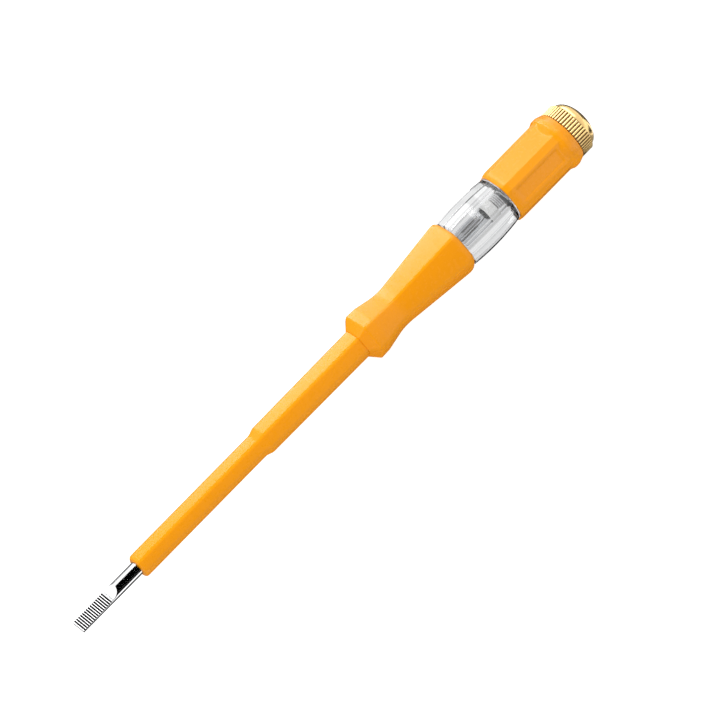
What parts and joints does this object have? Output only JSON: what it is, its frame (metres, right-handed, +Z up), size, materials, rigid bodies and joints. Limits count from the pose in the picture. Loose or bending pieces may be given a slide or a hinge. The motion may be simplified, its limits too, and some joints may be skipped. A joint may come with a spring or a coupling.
{
  "type": "voltage tester screwdriver",
  "caption": "Slotted screwdriver with an insulated shank, a clear window over a neon lamp in its hexagonal grip, and a knurled metal touch cap that unscrews.",
  "frame": {"origin": "under the middle of the tool's length, on the plane that its widest rim rests on", "axes": "+X along the tool axis from the blade tip to the cap, +Z up, square to a facet of the lower grip and the sleeve"},
  "size_m": [0.19, 0.0166, 0.0165],
  "materials": {
    "chromed_steel": "bright chrome over ground steel",
    "sleeve_plastic": "satin extruded plastic",
    "grip_plastic": "moulded satin-gloss plastic",
    "clear_plastic": "clear moulded plastic",
    "brass": "polished, knurled",
    "spring_steel": "bright wire",
    "resistor_coat": "lacquered",
    "tinned_brass": "tinned, satin",
    "lamp_glass": "clear drawn glass",
    "nickel_wire": "dull nickel"
  },
  "bodies": {
    "handle": {"blade": "chromed_steel", "shank_sleeve": "sleeve_plastic", "lower_grip": "grip_plastic", "window_tube": "clear_plastic", "upper_grip": "grip_plastic", "resistor_rod": "resistor_coat", "resistor_ferrule_front": "tinned_brass", "resistor_ferrule_rear": "tinned_brass", "lamp_ferrule_front": "tinned_brass", "lamp_ferrule_rear": "tinned_brass", "lamp_glass": "lamp_glass", "lamp_lead_front": "nickel_wire", "lamp_lead_rear": "nickel_wire", "lamp_electrode_front": "nickel_wire", "lamp_electrode_rear": "nickel_wire"},
    "spring": {"cap_spring": "spring_steel"},
    "cap": {"end_cap": "brass"}
  },
  "joints": [
    {"name": "cap_travel", "type": "slide", "parent": "handle", "child": "spring", "axis": [1, 0, 0], "range_m": [0, 0.00525], "deforming": ["cap_spring"]},
    {"name": "cap_turn", "type": "hinge", "parent": "spring", "child": "cap", "pos_m": [0.0874, 0, 0.00825], "axis": [1, 0, 0], "range_deg": [0, 1890]}
  ],
  "couplings": [
    {"joint": "cap_travel", "follows": "cap_turn", "m_per_rad": 0.00015915}
  ]
}
